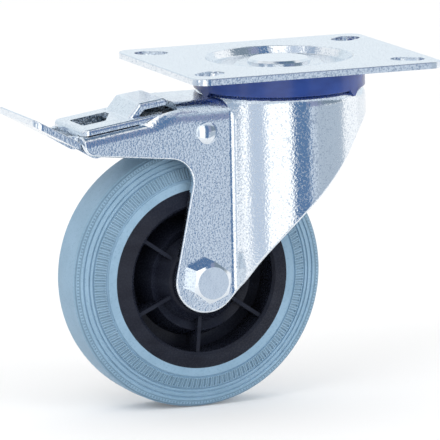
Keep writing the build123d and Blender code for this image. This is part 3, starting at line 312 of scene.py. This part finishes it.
LAMP_TARGET = Vector((0.0, 0.0, -0.06))
LAMPS = (
    # place and side in metres, power in watts
    ("key", (-1.1, -0.9, 1.3), 0.9, 7.0),
    ("top", (0.3, 0.5, 1.6), 1.2, 2.0),
    ("fill", (1.1, -1.9, 0.5), 1.0, 12.0),
)


def lamp(name, place, size, power):
    """A soft square lamp that mirrors don't show, aimed at the castor."""
    data = bpy.data.lights.new(name, "AREA")
    data.shape = "SQUARE"
    data.size = size
    data.energy = power
    thing = bpy.data.objects.new(name, data)
    bpy.context.scene.collection.objects.link(thing)
    thing.location = place
    look = LAMP_TARGET - Vector(place)
    thing.rotation_euler = look.to_track_quat("-Z", "Y").to_euler()
    thing.visible_glossy = False


for name, place, size, power in LAMPS:
    lamp(name, place, size, power)
print("floor at z =", round(FLOOR_HEIGHT, 4), "cards:", len(CARDS), "lamps:", len(LAMPS))

# %% [markdown]
# Plate, cup and fork are pressed from steel sheet and zinc plated. Plating
# is not a clean mirror: it has a fine pebbled skin that breaks each
# reflection into specks, and broader clouds where it is a little duller.


# %% Zinc plated sheet
ZINC_TINT = (0.82, 0.87, 0.92, 1.0)
ZINC_SHADE = (0.56, 0.63, 0.72, 1.0)
GRAIN_SIZE = 0.0008
PEBBLE_SIZE = 0.0010
SPECK_SIZE = 0.0007
CLOUD_SIZE = 0.009
SHEET_RELIEF = 0.00003
SHEET_GLOSS = 0.07

zinc_sheet, start, shader = new_finish("zinc_sheet")
place = start.node("TexCoord", out="Object")
grains = start.node("TexVoronoi", None, {"Vector": place, "Scale": 1.0 / GRAIN_SIZE})
pebble = noise(start, PEBBLE_SIZE, 1.0, 0.5)
clouds = noise(start, CLOUD_SIZE, 3.0, 0.6)
specks = noise(start, SPECK_SIZE, 1.0, 0.5).step(0.46, 0.72)
feed(
    start,
    shader,
    Base_Color=(specks * 0.7 + clouds * 0.2).mix(ZINC_TINT, ZINC_SHADE),
    Metallic=1.0,
    Roughness=clouds * 0.08 + specks * 0.26 + SHEET_GLOSS,
    Normal=bump(start, grains + pebble * 0.8, SHEET_RELIEF),
)
print("plated sheet: grains of", GRAIN_SIZE * 1000, "mm")

# %% [markdown]
# Bolt, nut and rivets are plated too, but they are turned or headed parts,
# whose skin is finer than rolled sheet. They share the sheet's two tints, with
# smaller clouds and pebbles. One finish for all the zinc would be simpler, but
# it would make these small parts look like castings.

# %% Zinc plated bolts and rivets
BOLT_PEBBLE_SIZE = 0.0009
BOLT_CLOUD_SIZE = 0.004
BOLT_RELIEF = 0.00002
BOLT_GLOSS = 0.10

zinc_bolt, start, shader = new_finish("zinc_bolt")
pebble = noise(start, BOLT_PEBBLE_SIZE, 2.0, 0.5)
clouds = noise(start, BOLT_CLOUD_SIZE, 3.0, 0.6)
feed(
    start,
    shader,
    Base_Color=(clouds * 0.4).mix(ZINC_TINT, ZINC_SHADE),
    Metallic=1.0,
    Roughness=clouds * 0.10 + BOLT_GLOSS,
    Normal=bump(start, pebble, BOLT_RELIEF),
)
print("plated bolts: clouds of", BOLT_CLOUD_SIZE * 1000, "mm")

# %% [markdown]
# Balls and rollers are ground bright and carry a thin film of grease. Spring
# and shoe are unplated steel with a dull mill scale. A film only changes how
# sharp the mirror is, but scale has a height of its own, so the two rough
# steels also get a bump.

# %% Ground steel of balls and rollers
FILM_SIZE = 0.002
BALL_GLOSS = 0.06

ball_steel, start, shader = new_finish("ball_steel")
film = noise(start, FILM_SIZE, 2.0, 0.6)
feed(
    start,
    shader,
    Base_Color=film.mix((0.60, 0.61, 0.62, 1.0), (0.50, 0.50, 0.49, 1.0)),
    Metallic=1.0,
    Roughness=film * 0.12 + BALL_GLOSS,
)
print("ball steel made")


# %% Scaled steel of spring and shoe
def scaled_steel(name, dark, light, size, gloss, relief):
    """Unplated steel whose mill scale has patches of this size."""
    material, start, shader = new_finish(name)
    scale = noise(start, size, 3.0, 0.6)
    feed(
        start,
        shader,
        Base_Color=scale.mix(dark, light),
        Metallic=1.0,
        Roughness=scale * 0.2 + gloss,
        Normal=bump(start, scale, relief),
    )
    return material


spring_steel = scaled_steel(
    "spring_steel", (0.16, 0.16, 0.165, 1.0), (0.30, 0.29, 0.28, 1.0), 0.0012, 0.28, 0.00002
)
shoe_steel = scaled_steel(
    "shoe_steel", (0.36, 0.38, 0.40, 1.0), (0.5, 0.52, 0.55, 1.0), 0.0015, 0.3, 0.00003
)
print("scaled steels:", spring_steel.name, shoe_steel.name)

# %% [markdown]
# The seal, the wheel centre and the roller cage are moulded plastic: an even
# colour, a light satin gloss, and the faint flow and orange peel of the mould.


# %% Moulded plastics
FLOW_SIZE = 0.012
FLOW_STRETCH = (1.0, 1.0, 2.5)
PEEL_SIZE = 0.0007


def plastic(name, dark, light, gloss, peel, shine=0.5):
    """An even plastic: peel is its skin's relief, shine its mirror's strength."""
    material, start, shader = new_finish(name)
    flow = noise(start, FLOW_SIZE, 2.0, 0.5, FLOW_STRETCH)
    skin = noise(start, PEEL_SIZE, 2.0, 0.5)
    feed(
        start,
        shader,
        Base_Color=flow.step(0.3, 0.7).mix(dark, light),
        Roughness=skin * 0.14 + gloss,
        Specular_IOR_Level=shine,
        Normal=bump(start, skin, peel),
    )
    return material


blue_plastic = plastic(
    "blue_plastic", (0.014, 0.042, 0.21, 1.0), (0.022, 0.062, 0.28, 1.0), 0.16, 0.00001
)
black_plastic = plastic(
    "black_plastic", (0.010, 0.012, 0.021, 1.0), (0.015, 0.018, 0.029, 1.0), 0.20, 0.000012, 0.13
)
cage_plastic = plastic(
    "cage_plastic", (0.45, 0.43, 0.38, 1.0), (0.55, 0.53, 0.47, 1.0), 0.35, 0.00001
)
print("plastics:", blue_plastic.name, black_plastic.name, cage_plastic.name)

# %% [markdown]
# The tyre is elastic blue-grey rubber. Rubber is rough, so it shows its own
# colour almost everywhere, with a pale bloom in patches and fine pores. The
# mould also leaves marks far finer than the solid's grooves: a tick between
# the teeth of the toothed band, a row of short dashes on the shoulder and
# two hair-thin rings. They are drawn from each point's distance and turn
# about the axle, so that they stay on the tyre as it rolls. Each mark is
# pressed in with a bump, and its darker colour is painted shade in its groove.

# %% Tyre rubber
TICK_COUNT = 252
TOOTHED_BAND = (0.0385, 0.0422)
DASHED_BAND = (0.0481, 0.0486)
HAIR_RINGS = (0.0475, 0.0491)
HAIR_WIDTH = 0.00022
BAND_EDGE = 0.0002
RELIEF_OVER_PORES = 8.0
BLOOM_SIZE = 0.014
PORE_SIZE = 0.0008
PORE_RELIEF = 0.00002
RUBBER_DARK = (0.22, 0.36, 0.49, 1.0)
RUBBER_PALE = (0.26, 0.41, 0.55, 1.0)
RUBBER_PORE = (0.16, 0.28, 0.40, 1.0)
# painted shade: the darker colour laid into the grooves of the cut marks
CUT_PAINTED_SHADE = (0.08, 0.16, 0.24, 1.0)

tyre_low, tyre_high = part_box("tyre")
axle = (tyre_low + tyre_high) / 2
tyre_rubber, start, shader = new_finish("tyre_rubber")
bloom = noise(start, BLOOM_SIZE, 4.0, 0.6)
pores = noise(start, PORE_SIZE, 3.0, 0.6)
rubber = bloom.step(0.35, 0.7).mix(RUBBER_DARK, RUBBER_PALE)
place = start.node("TexCoord", out="Object")
across = start.node("SeparateXYZ", None, {"Vector": place}, out="X") - axle.x
upwards = start.node("SeparateXYZ", None, {"Vector": place}, out="Z") - axle.z
from_axle = start.math("SQRT", across * across + upwards * upwards)
turn = start.math("ARCTAN2", upwards, across) * (TICK_COUNT / (2 * math.pi))
tick = 1.0 - start.math("PINGPONG", turn, 0.5).step(0.10, 0.30)


def band(inner, outer):
    """1 between two distances from the axle, fading out at both."""
    rise = from_axle.step(inner - BAND_EDGE, inner)
    return rise - from_axle.step(outer, outer + BAND_EDGE)


inner_hair, outer_hair = (band(ring, ring + HAIR_WIDTH) for ring in HAIR_RINGS)
hairs = inner_hair + outer_hair
cuts = (band(*TOOTHED_BAND) + band(*DASHED_BAND)) * tick + hairs
pitted = pores.step(0.5, 0.8).mix(rubber, RUBBER_PORE)
feed(
    start,
    shader,
    # the cut marks are darkened with painted shade, besides being pressed in by the bump
    Base_Color=(cuts * 0.55).mix(pitted, CUT_PAINTED_SHADE),
    Roughness=bloom * 0.2 + 0.42,
    Normal=bump(start, pores - cuts * RELIEF_OVER_PORES, PORE_RELIEF),
)
print("tyre marks:", TICK_COUNT, "ticks,", len(HAIR_RINGS), "rings")

# %% [markdown]
# The pins that push the wheel centre out of its mould leave a round mark in
# the middle of each bay between two ribs, on the slope beside the hub. Each
# one is a low disc whose top is inset and sunk, so a small rim stands round
# it. A bump map could draw them too, but a real rim catches the light.

# %% Mould marks on the wheel centre
BAY_COUNT = 6
FIRST_BAY = math.radians(55.0)
MARK_RADIUS = 0.0014
MARK_RIM = 0.0004
MARK_SINK = 0.0003
MARK_THICKNESS = 0.0010
MARK_SEGMENTS = 16
MARK_EDGE = 0.00008
MARK_FROM_AXLE = 0.0221
MARK_FROM_MIDDLE = 0.0058
SLOPE_LEAN = math.radians(21.2)


def mould_mark(work, place, outward):
    """One sunk disc with a rim, facing outward."""
    turned = outward.to_track_quat("Z", "Y").to_matrix().to_4x4()
    made = bmesh.ops.create_cone(
        work,
        cap_ends=True,
        segments=MARK_SEGMENTS,
        radius1=MARK_RADIUS,
        radius2=MARK_RADIUS,
        depth=MARK_THICKNESS,
        matrix=Matrix.Translation(place) @ turned,
    )
    faces = {face for vert in made["verts"] for face in vert.link_faces}
    top = max(faces, key=lambda face: face.normal.dot(outward))
    bmesh.ops.inset_region(work, faces=[top], thickness=MARK_RIM)
    bmesh.ops.translate(work, verts=top.verts, vec=outward * -MARK_SINK)


work = bmesh.new()
for bay in range(BAY_COUNT):
    angle = FIRST_BAY + bay * 2 * math.pi / BAY_COUNT
    spoke = Vector((math.cos(angle), 0.0, math.sin(angle)))
    for side in (-1.0, 1.0):
        across = Vector((0.0, side, 0.0))
        outward = spoke * math.cos(SLOPE_LEAN) + across * math.sin(SLOPE_LEAN)
        spot = axle + spoke * MARK_FROM_AXLE + across * MARK_FROM_MIDDLE
        mould_mark(work, spot - outward * (MARK_THICKNESS / 2 - MARK_SINK), outward)
bmesh.ops.bevel(
    work,
    geom=work.edges[:],
    offset=MARK_EDGE,
    segments=1,
    profile=0.5,
    affect="EDGES",
    material=-1,
    clamp_overlap=True,
)
bmesh.ops.recalc_face_normals(work, faces=work.faces)
mesh = bpy.data.meshes.new("mould_marks")
work.to_mesh(mesh)
work.free()
mould_marks = bpy.data.objects.new("mould_marks", mesh)
mesh.materials.append(black_plastic)
bpy.context.scene.collection.objects.link(mould_marks)
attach(mould_marks, "wheel")
print("mould marks:", BAY_COUNT * 2, "faces:", len(mesh.polygons))

# %% [markdown]
# Each solid came in with a plain stand-in material named for its finish. The
# real one takes the stand-in's place in the slot, so a solid gets its look
# from the record and not from a list of solids kept here.

# %% Put the finishes on the solids
finishes = {
    material.name.replace("_finish", ""): material
    for material in (
        zinc_sheet,
        zinc_bolt,
        ball_steel,
        spring_steel,
        shoe_steel,
        blue_plastic,
        black_plastic,
        cage_plastic,
        tyre_rubber,
    )
}
for node in nodes.values():
    for holder in node.material_slots:
        holder.material = finishes[holder.material.name.split(".")[0]]
print("finished solids:", len(nodes))
